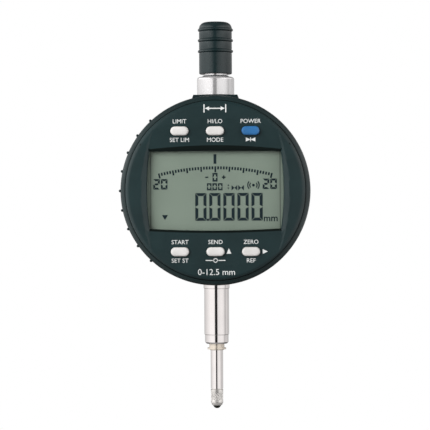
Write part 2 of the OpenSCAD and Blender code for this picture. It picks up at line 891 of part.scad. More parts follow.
// A key: its cap, the flange that keeps it in, and the plunger that meets its switch
module key_button(column, row, key_colour) {
    flange_front = face_back + air;
    plunger_end = board2_front - switch_h - key_travel - 0.05;
    color(key_colour) at_dial() key_place(column, row) {
        plate(face_y - key_proud + key_step, flange_front) pill(key_w, key_h);
        plate(face_y - key_proud, face_y) pill(key_w - 2 * key_step, key_h - 2 * key_step);
        plate(flange_front, flange_front + key_flange_t)
            pill(key_w + 2 * key_flange, key_h + 2 * key_flange);
        y_rod(0, 0, plunger_r, flange_front, plunger_end);
    }
}

module key_tol() key_button(-1, 1, key_grey);
module key_menu() key_button(0, 1, key_grey);
module key_power() key_button(1, 1, key_blue);
module key_preset() key_button(-1, -1, key_grey);
module key_data() key_button(0, -1, key_grey);
module key_reset() key_button(1, -1, key_grey);

base_housing();
back_cover();
back_gasket();
back_screws();
stem();
stem_nut();
lower_bush();
stem_wiper();
stop_bumper();
guide_tube();
upper_bush();
top_collar();
neck_seal_ring();
sensor_board();
sensor_chips();
sensor_board_screws();
flex_cable();
guide_rail();
guide_rail_screws();
spring_anchor();
return_spring();
friction_ring();
rotation_stop_pin();
battery();
battery_holder();
battery_contacts();
holder_screws();
battery_cover();
battery_cover_seal();
data_socket();
data_port_cover();
spindle();
contact_point();
contact_ball();
stop_clip();
lift_cap();
scale_carrier();
scale_strip();
carrier_screws();
guide_pin();
grip_ring();
front_cover();
window_lens();
window_gasket();
lcd_panel();
lcd_frame();
zebra_strips();
display_board();
key_switches();
display_chips();
display_screws();
display_rear_plate();
pivot_hub();
retaining_ring();
key_tol();
key_menu();
key_power();
key_preset();
key_data();
key_reset();
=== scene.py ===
import json
import math

import bmesh
import bpy
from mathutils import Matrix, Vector


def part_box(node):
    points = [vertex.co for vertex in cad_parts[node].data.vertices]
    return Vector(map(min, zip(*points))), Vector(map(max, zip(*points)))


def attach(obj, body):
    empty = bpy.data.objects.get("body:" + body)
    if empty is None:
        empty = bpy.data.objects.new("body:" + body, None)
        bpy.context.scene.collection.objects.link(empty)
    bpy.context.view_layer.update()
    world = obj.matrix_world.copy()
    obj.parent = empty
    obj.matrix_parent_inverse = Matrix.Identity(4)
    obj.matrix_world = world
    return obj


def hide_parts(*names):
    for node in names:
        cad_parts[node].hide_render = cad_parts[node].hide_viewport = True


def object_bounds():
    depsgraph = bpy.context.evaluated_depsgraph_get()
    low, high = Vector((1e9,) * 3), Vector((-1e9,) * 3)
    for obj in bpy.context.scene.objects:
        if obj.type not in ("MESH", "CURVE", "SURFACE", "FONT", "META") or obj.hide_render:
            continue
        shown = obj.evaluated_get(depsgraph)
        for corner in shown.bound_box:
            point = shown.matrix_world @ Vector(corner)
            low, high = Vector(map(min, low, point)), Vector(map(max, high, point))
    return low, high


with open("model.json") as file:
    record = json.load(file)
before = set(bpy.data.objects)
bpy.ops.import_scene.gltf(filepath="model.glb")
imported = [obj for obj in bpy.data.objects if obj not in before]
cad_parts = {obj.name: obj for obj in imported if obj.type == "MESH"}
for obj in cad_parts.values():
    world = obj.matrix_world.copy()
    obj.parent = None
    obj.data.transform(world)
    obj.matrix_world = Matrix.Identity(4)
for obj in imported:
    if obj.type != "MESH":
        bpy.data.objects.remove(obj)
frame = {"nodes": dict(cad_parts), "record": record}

# Lengths below are millimetres about the dial's centre: x to the right, y from the front to the back, z up
# the spindle. The CAD frame is in metres.
MM = 0.001
CAD_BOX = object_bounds()
plate_low, plate_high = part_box("display_rear_plate")
DIAL_Z = (plate_low.z + plate_high.z) / 2
TURN = 2 * math.pi


def place(node):
    """The lowest and highest corner of a CAD node, in millimetres about the dial's centre."""
    centre = Vector((0, 0, DIAL_Z))
    low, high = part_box(node)
    return (low - centre) / MM, (high - centre) / MM


# ---------------------------------------------------------------- outlines

def arc(cx, cy, radius, start, end, steps):
    """Points of an arc, from one angle to another, in degrees."""
    angles = [math.radians(start + (end - start) * i / steps) for i in range(steps + 1)]
    return [(cx + radius * math.cos(a), cy + radius * math.sin(a)) for a in angles]


def pill(width, height, steps=12):
    """A bar with round ends, along x."""
    r, x = height / 2, (width - height) / 2
    return arc(x, 0, r, -90, 90, steps) + arc(-x, 0, r, 90, 270, steps)


def moved(outline, x, z):
    """The same outline, moved along x and z."""
    return [(px + x, pz + z) for px, pz in outline]


# ---------------------------------------------------------------- meshes

def make_object(name, points, faces, smooth_below=38):
    """A mesh object from points in millimetres, shaded smooth where it turns by less than some degrees."""
    mesh = bpy.data.meshes.new(name)
    mesh.from_pydata([(x * MM, y * MM, z * MM + DIAL_Z) for x, y, z in points], [], faces)
    mesh.validate()
    obj = bpy.data.objects.new(name, mesh)
    bpy.context.scene.collection.objects.link(obj)
    shade(obj, smooth_below)
    return obj


def shade(obj, smooth_below=38):
    """Shades an object smooth, except along edges that turn by more than some degrees."""
    obj.data.shade_smooth()
    obj.data.set_sharp_from_angle(angle=math.radians(smooth_below))


def even_normals(obj):
    """Keeps big flat faces flat next to narrow rounded edges."""
    weighted = obj.modifiers.new("even_normals", "WEIGHTED_NORMAL")
    weighted.keep_sharp = True


def lathe(name, outline, axis="y", around=192):
    """Turns a closed outline of (radius, distance along) about the dial's axis (y) or the spindle's (z)."""
    points, rings = [], []
    for radius, along in outline:
        ring = []
        for k in range(around if radius > 1e-6 else 1):
            a = TURN * k / around
            across, up = radius * math.cos(a), radius * math.sin(a)
            ring.append(len(points))
            points.append((across, along, up) if axis == "y" else (across, up, along))
        rings.append(ring)
    faces = []
    for i, ring in enumerate(rings):
        other = rings[(i + 1) % len(rings)]
        for k in range(around):
            face = [ring[k % len(ring)], ring[(k + 1) % len(ring)],
                    other[(k + 1) % len(other)], other[k % len(other)]]
            face = list(dict.fromkeys(face))
            if len(face) > 2:
                faces.append(face)
    obj = make_object(name, points, faces)
    outwards(obj)
    even_normals(obj)
    return obj


def loft(name, rings, smooth_below=38):
    """Joins outlines in x and z, each at its own y, into one closed solid: [(y, outline), ...]."""
    points = [(x, y, z) for y, outline in rings for x, z in outline]
    n = len(rings[0][1])
    faces = [list(range(n)), list(range(n * (len(rings) - 1), n * len(rings)))]
    for i in range(len(rings) - 1):
        for k in range(n):
            j = (k + 1) % n
            faces.append([i * n + k, i * n + j, (i + 1) * n + j, (i + 1) * n + k])
    obj = make_object(name, points, faces, smooth_below)
    outwards(obj)
    return obj


def outwards(obj):
    """Turns every face of a closed mesh outwards."""
    work = bmesh.new()
    work.from_mesh(obj.data)
    bmesh.ops.recalc_face_normals(work, faces=work.faces)
    work.to_mesh(obj.data)
    work.free()


def bake_modifiers(obj):
    """Replaces an object's mesh by what its modifiers make of it."""
    ready = obj.evaluated_get(bpy.context.evaluated_depsgraph_get())
    mesh = bpy.data.meshes.new_from_object(ready)
    obj.modifiers.clear()
    obj.data = mesh


def combine(obj, others, operation):
    """Adds or cuts away other closed objects, which are then deleted."""
    obj.modifiers.clear()
    for other in others:
        step = obj.modifiers.new("step", "BOOLEAN")
        step.operation = operation
        step.solver = "EXACT"
        step.object = other
        bake_modifiers(obj)
        bpy.data.objects.remove(other)
    shade(obj)
    even_normals(obj)


def join(name, objects):
    """One object from several, without welding them."""
    points, faces = [], []
    for obj in objects:
        start = len(points)
        points += [(p.co.x / MM, p.co.y / MM, (p.co.z - DIAL_Z) / MM) for p in obj.data.vertices]
        faces += [[start + i for i in f.vertices] for f in obj.data.polygons]
        bpy.data.objects.remove(obj)
    return make_object(name, points, faces)


# ---------------------------------------------------------------- materials

class Paint:
    """A node material under construction: one Principled shader and the patterns that feed it."""

    def __init__(self, name, colour, roughness, metallic=0.0):
        self.material = bpy.data.materials.new(name)
        self.material.use_nodes = True
        self.nodes = self.material.node_tree.nodes
        self.links = self.material.node_tree.links
        self.shader = self.nodes["Principled BSDF"]
        self.colour, self.roughness = colour, roughness
        self.shader.inputs["Base Color"].default_value = (*colour, 1)
        self.shader.inputs["Roughness"].default_value = roughness
        self.shader.inputs["Metallic"].default_value = metallic
        self.normal = None

    def set(self, **values):
        """Sets inputs of the shader by name, with _ for a space."""
        for key, value in values.items():
            self.shader.inputs[key.replace("_", " ")].default_value = value
        return self

    def noise(self, scale, detail=3.0, stretch=(1, 1, 1)):
        """A noise pattern fixed to the object, with features about 1/scale metres apart."""
        where = self.nodes.new("ShaderNodeTexCoord")
        mapping = self.nodes.new("ShaderNodeMapping")
        mapping.inputs["Scale"].default_value = stretch
        noise = self.nodes.new("ShaderNodeTexNoise")
        noise.inputs["Scale"].default_value = scale
        noise.inputs["Detail"].default_value = detail
        self.links.new(where.outputs["Object"], mapping.inputs["Vector"])
        self.links.new(mapping.outputs["Vector"], noise.inputs["Vector"])
        return noise.outputs["Fac"]

    def spread(self, pattern, low, high):
        """Spreads a pattern over a range of values."""
        ramp = self.nodes.new("ShaderNodeMapRange")
        ramp.inputs["From Min"].default_value = 0.3
        ramp.inputs["From Max"].default_value = 0.7
        ramp.inputs["To Min"].default_value = low
        ramp.inputs["To Max"].default_value = high
        self.links.new(pattern, ramp.inputs["Value"])
        return ramp.outputs["Result"]

    def vary_colour(self, pattern, darkest, lightest=None):
        """Blends between two colours by a pattern."""
        lightest = lightest or self.colour
        mix = self.nodes.new("ShaderNodeMix")
        mix.data_type = "RGBA"
        mix.inputs["A"].default_value = (*darkest, 1)
        mix.inputs["B"].default_value = (*lightest, 1)
        self.links.new(self.spread(pattern, 0, 1), mix.inputs["Factor"])
        self.links.new(mix.outputs["Result"], self.shader.inputs["Base Color"])
        return self

    def vary_roughness(self, pattern, amount):
        """Lets the roughness drift up and down by an amount."""
        result = self.spread(pattern, self.roughness - amount, self.roughness + amount)
        self.links.new(result, self.shader.inputs["Roughness"])
        return self

    def bump(self, pattern, height, strength=1.0):
        """Adds relief of some height in metres, on top of any relief added before."""
        bump = self.nodes.new("ShaderNodeBump")
        bump.inputs["Distance"].default_value = height
        bump.inputs["Strength"].default_value = strength
        self.links.new(pattern, bump.inputs["Height"])
        if self.normal:
            self.links.new(self.normal, bump.inputs["Normal"])
        self.normal = bump.outputs["Normal"]
        self.links.new(self.normal, self.shader.inputs["Normal"])
        return self


def scaled(colour, factor):
    """A darker or lighter version of a colour."""
    return tuple(c * factor for c in colour)


def moulded(name, colour, roughness=0.42, grain=2200, depth=0.00002, shine=0.5):
    """Moulded plastic: fine spark-eroded grain, and a slow drift in tone and gloss."""
    tone_scale, gloss_scale = 140, 420
    paint = Paint(name, colour, roughness)
    paint.set(Specular_IOR_Level=shine)
    paint.vary_colour(paint.noise(tone_scale), scaled(colour, 0.88), scaled(colour, 1.1))
    paint.vary_roughness(paint.noise(gloss_scale, 5), 0.04)
    paint.bump(paint.noise(grain, 2), depth, 0.35)
    return paint.material


def turned_metal(name, colour, roughness, metallic=1.0, depth=0.000003):
    """Metal with fine tool lines that run round the spindle's axis.

    Less than fully metallic, it looks satin.
    """
    tone_scale, gloss_line_scale, tool_line_scale = 260, 9000, 6000
    stretch = (0.02, 0.02, 1)
    paint = Paint(name, colour, roughness, metallic)
    paint.vary_colour(paint.noise(tone_scale), scaled(colour, 0.94), colour)
    paint.vary_roughness(paint.noise(gloss_line_scale, 2, stretch), 0.02)
    paint.bump(paint.noise(tool_line_scale, 2, stretch), depth, 0.12)
    return paint.material


def soft_rubber(name, colour, roughness=0.75):
    """Matt rubber with a fine pebbled skin."""
    tone_scale, gloss_scale, skin_scale = 500, 900, 3500
    skin_depth = 0.00003
    paint = Paint(name, colour, roughness)
    paint.vary_colour(paint.noise(tone_scale), scaled(colour, 0.8), scaled(colour, 1.25))
    paint.vary_roughness(paint.noise(gloss_scale), 0.06)
    paint.bump(paint.noise(skin_scale, 4), skin_depth, 0.5)
    return paint.material


def coated(name, colour, roughness, scale=900):
    """A smooth coat over something, such as solder mask, polyimide or a liquid crystal panel."""
    ripple_depth = 0.000004
    paint = Paint(name, colour, roughness)
    paint.vary_colour(paint.noise(scale), scaled(colour, 0.93), scaled(colour, 1.05))
    paint.vary_roughness(paint.noise(scale * 2), 0.03)
    paint.bump(paint.noise(scale * 3), ripple_depth, 0.3)
    paint.set(Coat_Weight=0.3, Coat_Roughness=0.12)
    return paint.material


def clear_window(name):
    """The window: almost invisible, with a hard bright surface and faint wipe marks."""
    tone_scale, wipe_scale, ripple_scale = 80, 300, 120
    ripple_depth = 0.000002
    paint = Paint(name, (0.12, 0.14, 0.13), 0.05)
    paint.vary_colour(paint.noise(tone_scale), (0.10, 0.12, 0.11), (0.14, 0.16, 0.15))
    paint.vary_roughness(paint.noise(wipe_scale, 5, (1, 1, 0.2)), 0.02)
    paint.bump(paint.noise(ripple_scale), ripple_depth, 0.2)
    paint.set(Alpha=0.05, IOR=1.5)
    return paint.material


MATERIALS = {
    "black_body": moulded("moulded_black", (0.0115, 0.0290, 0.0310), shine=0.42),
    # A darker copy of the body's black: painted shade for the parts that sit in shadow behind the display
    # unit
    "base_black_painted_shade": moulded("base_black_painted_shade", (0.0080, 0.0205, 0.0220), shine=0.3),
    "black_rim": moulded("satin_black", (0.0100, 0.0235, 0.0245), 0.40, shine=0.5),
    "black_cap": moulded("cap_black", (0.0068, 0.0195, 0.0215), 0.29, 1600, 0.00001, shine=0.58),
    "ground_steel": turned_metal("ground_steel", (0.92, 0.87, 0.855), 0.08),
    "satin_steel": turned_metal("satin_steel", (0.87, 0.85, 0.85), 0.15, 0.65),
    "turned_steel": turned_metal("turned_steel", (0.72, 0.71, 0.72), 0.30),
    "dark_steel": turned_metal("dark_steel", (0.20, 0.21, 0.22), 0.38),
    "carbide": turned_metal("carbide", (0.060, 0.064, 0.052), 0.2),
    "brass": turned_metal("brass", (0.72, 0.55, 0.25), 0.30),
    "board": coated("board_green", (0.03, 0.16, 0.08), 0.35),
    "chip": moulded("chip_black", (0.012, 0.012, 0.013), 0.5),
    "seal_rubber": soft_rubber("seal_rubber", (0.040, 0.046, 0.048)),
    "wiper_plastic": turned_metal("wiper_cream", (0.83, 0.74, 0.635), 0.12, 0.55),
    "key_grey": moulded("key_grey", (0.79, 0.765, 0.745), 0.40, 2600),
    "key_blue": moulded("key_blue", (0.032, 0.166, 0.41), 0.38, 2600),
    "lcd": coated("lcd_grey", (0.262, 0.326, 0.265), 0.40, 60),
    "lens": clear_window("clear_window"),
    "scale_glass": coated("scale_glass", (0.45, 0.52, 0.58), 0.20),
    "flex": coated("flex_amber", (0.45, 0.20, 0.04), 0.30),
    "zebra": soft_rubber("zebra_pink", (0.62, 0.18, 0.28)),
}
INK_WHITE = moulded("ink_white", (0.86, 0.87, 0.86), 0.50, 4000)
LCD_INK = moulded("lcd_ink", (0.005, 0.017, 0.024), 0.60, 4000, shine=0.2)
LCD_EDGE = moulded("lcd_edge", (0.105, 0.135, 0.110), 0.50, 4000)
KNURLED = turned_metal("knurled_steel", (0.80, 0.77, 0.74), 0.42)
SATIN_LIP = turned_metal("satin_lip", (0.72, 0.69, 0.66), 0.45, 0.4)
# Near-black painted shade for the slopes of the window's reveal, where shadow falls
REVEAL_PAINTED_SHADE = moulded("reveal_painted_shade", (0.0040, 0.0080, 0.0072), 0.50, shine=0.15)


def dress(obj, material):
    """Gives an object one material."""
    obj.data.materials.clear()
    obj.data.materials.append(material)


def finish_piece(obj, body, slot, material=None, replaces=()):
    """Gives a piece its material, which is its slot's unless another is given, the body it moves with, and
    hides the nodes it stands for.
    """
    dress(obj, material or MATERIALS[slot])
    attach(obj, body)
    if replaces:
        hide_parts(*replaces)


def dress_cad_nodes():
    """Gives every CAD node its slot's material, and three of them another: satin steel for the guide tube,
    and a darker black as painted shade for the base housing and data-port cover.
    """
    for part in frame["record"]["subparts"]:
        dress(frame["nodes"][part["node"]], MATERIALS[part["material_slot"]])
    dress(frame["nodes"]["guide_tube"], MATERIALS["satin_steel"])
    # The base housing and data-port cover get the darker black as painted shade, for the shadow behind the
    # display unit
    for node in ("base_housing", "data_port_cover"):
        dress(frame["nodes"][node], MATERIALS["base_black_painted_shade"])


dress_cad_nodes()


def soften_edges(node, width_mm):
    """Gives a CAD node small round edges, as moulding or deburring leaves them."""
    same_point, same_plane, crease = 0.001 * MM, math.radians(0.5), math.radians(40)
    obj = frame["nodes"][node]
    weld = obj.modifiers.new("weld", "WELD")
    weld.merge_threshold = same_point
    flat = obj.modifiers.new("flat", "DECIMATE")
    flat.decimate_type = "DISSOLVE"
    flat.angle_limit = same_plane
    bevel = obj.modifiers.new("bevel", "BEVEL")
    bevel.width = width_mm * MM
    bevel.segments = 2
    bevel.limit_method = "ANGLE"
    bevel.angle_limit = crease
    even_normals(obj)
    shade(obj)


EDGE_WIDTHS = {
    "base_housing": 0.25, "back_cover": 0.25, "battery_cover": 0.15, "data_port_cover": 0.12,
    "back_screws": 0.07,
}
for node, width_mm in EDGE_WIDTHS.items():
    soften_edges(node, width_mm)


# ---------------------------------------------------------------- shape of the face

cover_low, cover_high = place("front_cover")
FACE_Y = cover_low.y
COVER_BACK = cover_high.y
COVER_R = cover_high.x
BEZEL_R = COVER_R - 0.15
FACE_WALL = 1.6

# The window, and how far its sides, top and bottom bow outwards
lens_low, lens_high = place("window_lens")
GASKET_Y = place("window_gasket")[0].y
WINDOW_Z = (lens_low.z + lens_high.z) / 2
WINDOW_W = 42.9
WINDOW_H = 24.7
WINDOW_BOW = 0.85
TOP_BOW = 0.2
BOTTOM_BOW = 0.65

# The face is flat out to DROOP_FROM, and curves back from there
DROOP_FROM = 17.5
DROOP_R = 150.0

# The trough across the face: a floor on a large arc, and arched sides that slope down to it
TROUGH_DEPTH = 1.0
TROUGH_Z = -0.8
TROUGH_HALF_H = 24.0
TROUGH_R = (TROUGH_HALF_H ** 2 + TROUGH_DEPTH ** 2) / (2 * TROUGH_DEPTH)
TROUGH_X = 23.4
TROUGH_SIDE_R = 66.0
BEVEL_RUN = 2.2


def droop(radius):
    """How far the face falls away towards its rim."""
    past = max(0.0, radius - DROOP_FROM)
    return DROOP_R - math.sqrt(DROOP_R ** 2 - past ** 2)


def trough_side(z):
    """Where the trough's sloping side meets the face, from the middle."""
    return TROUGH_X - (TROUGH_SIDE_R - math.sqrt(TROUGH_SIDE_R ** 2 - (z - TROUGH_Z) ** 2))


def trough_depth(z):
    """Depth of the trough's floor. It is negative beyond the trough's ends."""
    return TROUGH_DEPTH - (TROUGH_R - math.sqrt(TROUGH_R ** 2 - (z - TROUGH_Z) ** 2))


def face_depth(x, z):
    """Depth of the cover's surface behind its foremost point."""
    sloping = (trough_side(z) - abs(x)) / BEVEL_RUN
    return max(droop(math.hypot(x, z)), min(trough_depth(z), sloping))


# ---------------------------------------------------------------- front cover

def cover_shell():
    """The bezel and face in one shell, before anything is cut into it."""
    bezel_round, steps = 1.3, 10
    round_from = BEZEL_R - bezel_round
    edge_y = FACE_Y + droop(round_from)
    front = [(0, FACE_Y)]
    for i in range(steps + 1):
        r = DROOP_FROM + (round_from - DROOP_FROM) * i / steps
        front.append((r, FACE_Y + droop(r)))
    edge = arc(round_from, edge_y + bezel_round, bezel_round, -90, 0, 6)[1:]
    skirt_r = BEZEL_R - 1.35
    step_front, step_back = FACE_Y + 2.6, FACE_Y + 2.8
    side = [(BEZEL_R, step_front), (COVER_R, step_back), (COVER_R, COVER_BACK)]
    inside = [(skirt_r, COVER_BACK), (skirt_r, FACE_Y + FACE_WALL), (0, FACE_Y + FACE_WALL)]
    return lathe("front_shell", front + edge + side + inside, around=256)


def trough_cutter():
    """The trough across the face, with its sloping sides. It runs on a little past the trough's ends."""
    rows, above, past_ends = 24, 1.0, 1.12
    rings = []
    for i in range(rows + 1):
        z = TROUGH_Z + TROUGH_HALF_H * past_ends * (2 * i / rows - 1)
        floor_y = FACE_Y + trough_depth(z)
        at_floor = trough_side(z) - BEVEL_RUN * trough_depth(z)
        at_top = trough_side(z) + BEVEL_RUN * above
        rings.append([(-at_top, FACE_Y - above, z), (-at_floor, floor_y, z),
                      (at_floor, floor_y, z), (at_top, FACE_Y - above, z)])
    points = [p for ring in rings for p in ring]
    faces = [[3, 2, 1, 0], [len(points) - 4 + k for k in range(4)]]
    for i in range(rows):
        for k in range(4):
            j = (k + 1) % 4
            faces.append([i * 4 + k, i * 4 + j, i * 4 + 4 + j, i * 4 + 4 + k])
    cutter = make_object("trough_cutter", points, faces)
    outwards(cutter)
    return cutter


def window_outline(wider=0.0, top=0.0, top_bow=0.0, bottom=0.0, steps=12):
    """The window's outline: sides that bow outwards, and edges that can be moved out."""
    top_shift, bottom_shift = 0.15, -0.6
    half_w, half_h = WINDOW_W / 2 + wider, WINDOW_H / 2
    points = []
    for i in range(steps + 1):
        t = 2 * i / steps - 1
        points.append((half_w - WINDOW_BOW * t * t, WINDOW_Z + t * half_h))
    for i in range(1, steps):
        t = 1 - 2 * i / steps
        points.append(((half_w - WINDOW_BOW) * t, WINDOW_Z + half_h))
    for i in range(steps + 1):
        t = 1 - 2 * i / steps
        points.append((WINDOW_BOW * t * t - half_w, WINDOW_Z + t * half_h))
    for i in range(1, steps):
        t = 2 * i / steps - 1
        points.append(((half_w - WINDOW_BOW) * t, WINDOW_Z - half_h))
    moved_out = []
    for x, z in points:
        share = (z - WINDOW_Z) / half_h
        hump = 1 - (x / half_w) ** 2
        rise = top_shift + top + (TOP_BOW + top_bow) * hump
        fall = bottom_shift + bottom + BOTTOM_BOW * hump
        moved_out.append((x, z + share * (rise if share > 0 else fall)))
    return moved_out


def window_cutter():
    """The window's opening, with its sloping reveal: tall above, lower below, narrow at the sides."""
    reveal_end = GASKET_Y - 0.25
    return loft("window_cutter", [
        (FACE_Y - 1.2, window_outline(0.9, 1.9, 2.9, 2.3)),
        (FACE_Y + 0.5, window_outline(0.35, 0.8, 1.2, 1.05)),
        (reveal_end, window_outline()),
        (FACE_Y + FACE_WALL + 1, window_outline()),
    ])


def key_well_cutter(x, z, width, height):
    """The hole that a key works in, with a soft edge."""
    gap, lip = 0.1, 0.22

    def ring(out):
        return moved(pill(width + 2 * out, height + 2 * out), x, z)

    return loft("key_well", [
        (FACE_Y - 1, ring(gap + lip + 1)),
        (FACE_Y - 0.02, ring(gap + lip)),
        (FACE_Y + lip, ring(gap)),
        (FACE_Y + FACE_WALL + 1, ring(gap)),
    ])


def key_middle(node):
    """Where a key's middle is, in x and z."""
    low, high = place(node)
    return (low.x + high.x) / 2, (low.z + high.z) / 2


KEYS = ["key_tol", "key_menu", "key_power", "key_preset", "key_data", "key_reset"]
KEY_W = 5.7
KEY_H = 2.8


def paint_reveal_shade(cover):
    """Paints the slopes above and below the window near-black: painted shade for the shadow that falls
    there.

    Their faces lie close to the window's upper and lower edge, between the face and its back.
    """
    reach_in, reach_out, below_face, before_back = 1.5, 2.4, 0.02, 0.05
    # The slopes near the window's upper and lower edge get the near-black painted shade as their second
    # material
    cover.data.materials.append(REVEAL_PAINTED_SHADE)
    for face in cover.data.polygons:
        x, y, z = face.center.x / MM, face.center.y / MM, (face.center.z - DIAL_Z) / MM
        beside = abs(x) - WINDOW_W / 2
        beyond = abs(z - WINDOW_Z) - WINDOW_H / 2
        at_edge = max(beside, -reach_in) < beyond < reach_out
        depth = y - FACE_Y
        if at_edge and face_depth(x, z) + below_face < depth < FACE_WALL - before_back:
            face.material_index = 1


def make_front_cover():
    """The front cover: the shell with its trough, window and key wells cut into it."""
    cover = cover_shell()
    cutters = [trough_cutter(), window_cutter()]
    for node in KEYS:
        cutters.append(key_well_cutter(*key_middle(node), KEY_W, KEY_H))
    combine(cover, cutters, "DIFFERENCE")
    finish_piece(cover, "display_unit", "black_body", replaces=["front_cover"])
    paint_reveal_shade(cover)


make_front_cover()


# ---------------------------------------------------------------- keys

def make_key(node):
    """A key: its cap with rounded edges and a slightly domed top, the flange behind, and the plunger."""
    low, high = place(node)
    x, z = key_middle(node)
    front, back = low.y, high.y
    edge_r, edge_y, edge_steps = 0.55, front + 0.05, 4
    flange_out, flange_y, flange_back = 0.6, FACE_Y + FACE_WALL + 0.1, FACE_Y + FACE_WALL + 0.6
    stalk_r, stalk_tip_r, stalk_taper = 1.0, 0.8, 0.2

    def ring(inset):
        return moved(pill(KEY_W - 2 * inset, KEY_H - 2 * inset), x, z)

    rings = [(front, ring(1.1)), (front + 0.02, ring(0.7))]
    for i in range(edge_steps + 1):
        a = math.radians(90 * i / edge_steps)
        rings.append((edge_y + edge_r * (1 - math.cos(a)), ring(edge_r * (1 - math.sin(a)))))
    rings += [(flange_y, ring(0)), (flange_y, ring(-flange_out))]
    rings += [(flange_back, ring(-flange_out)), (flange_back, ring(0.4))]
    cap = loft(node + "_cap", rings)
    even_normals(cap)
    plunger = [(flange_back - 0.1, stalk_r), (back - stalk_taper, stalk_r), (back, stalk_tip_r)]
    stalk = loft("stalk", [(y, moved(arc(0, 0, r, 0, 345, 23), x, z)) for y, r in plunger])
    combine(cap, [stalk], "UNION")
    slot = "key_blue" if node == "key_power" else "key_grey"
    finish_piece(cap, node + "_body", slot, replaces=[node])


for node in KEYS:
    make_key(node)


# ---------------------------------------------------------------- grip ring

def make_grip_ring():
    """The rim round the cover: a rounded front shoulder, and grip ribs on its left half."""
    high = place("grip_ring")[1]
    outer_r, back = high.x, high.y
    shoulder, chamfer = FACE_Y + 3.8, 0.35
    outline = [(COVER_R, back), (outer_r - chamfer, back), (outer_r, back - chamfer)]
    run, rise, steps = outer_r - COVER_R, 2.0, 8
    for i in range(steps + 1):
        a = math.radians(90 * i / steps)
        outline.append((COVER_R + run * math.cos(a), shoulder - rise * math.sin(a)))
    ring = lathe("grip_rim", outline, around=256)
    ribs_each_side, rib_pitch, rib_at = 4, 11.8, outer_r + 0.12
    # A rib's radius along its length: it tapers at both ends
    rod = [(shoulder - 0.55, 0.12), (shoulder - 0.4, 0.3), (shoulder - 0.1, 0.42), (shoulder + 0.3, 0.45),
           (back - 0.95, 0.45), (back - 0.7, 0.35), (back - 0.6, 0.15)]
    ribs = []
    for i in range(-ribs_each_side, ribs_each_side + 1):
        a = math.radians(180 + rib_pitch * i)
        x, z = rib_at * math.cos(a), rib_at * math.sin(a)
        ribs.append(loft("rib", [(y, moved(arc(0, 0, r, 0, 337.5, 15), x, z)) for y, r in rod]))
    combine(ring, [join("ribs", ribs)], "UNION")
    finish_piece(ring, "display_unit", "black_rim", replaces=["grip_ring"])


make_grip_ring()


# ---------------------------------------------------------------- lift cap and contact point

def make_lift_cap():
    """The cap that lifts the spindle: a round top with a shallow dish, and three ribs in grooves."""
    low, high = place("lift_cap")
    spindle = place("spindle")[1]
    r, bottom, top = high.x - 0.4, low.z + 0.12, high.z - 0.06
    bore, bore_top = 3.9, place("guide_tube")[1].z + 0.3
    foot_round, top_round, dish = 0.35, 2.05, 0.12
    rib_r, rib_at, groove_depth, groove_from, groove_to = 0.45, r - 0.05, 0.12, 0.5, 0.75
    outline = [(bore, bottom), (r - 0.4, bottom)]
    outline += arc(r - foot_round, bottom + foot_round, foot_round, -90, 0, 4)[1:]
    for height in (7.45, 10.95, 14.35):
        z = low.z + height
        outline += [(r, z - groove_to), (r - groove_depth, z - groove_from)]
        outline += arc(rib_at, z, rib_r, -72, 72, 6)
        outline += [(r - groove_depth, z + groove_from), (r, z + groove_to)]
    outline += arc(r - top_round, top - top_round, top_round, 0, 78, 8)
    outline += [(r - 2.6, top - 0.02), (r - 2.9, top - dish), (0, top - dish)]
    outline += [(0, spindle.z), (spindle.x, spindle.z), (spindle.x, bore_top), (bore, bore_top)]
    cap = lathe("ribbed_cap", outline, "z", 128)
    finish_piece(cap, "plunger", "black_cap", replaces=["lift_cap"])


make_lift_cap()


def make_collar():
    """The bright collar under the lift cap, with round shoulders and a soft lower edge."""
    low, high = place("top_collar")
    bore, r = place("guide_tube")[1].x, high.x
    shoulder, chamfer = 0.85, 0.2
    outline = [(bore, low.z), (r - chamfer, low.z), (r, low.z + chamfer)]
    outline += arc(r - shoulder, high.z - shoulder, shoulder, 0, 90, 8)
    outline.append((bore, high.z))
    collar = lathe("collar", outline, "z", 128)
    finish_piece(collar, "base", "ground_steel", MATERIALS["satin_steel"], ["top_collar"])


make_collar()


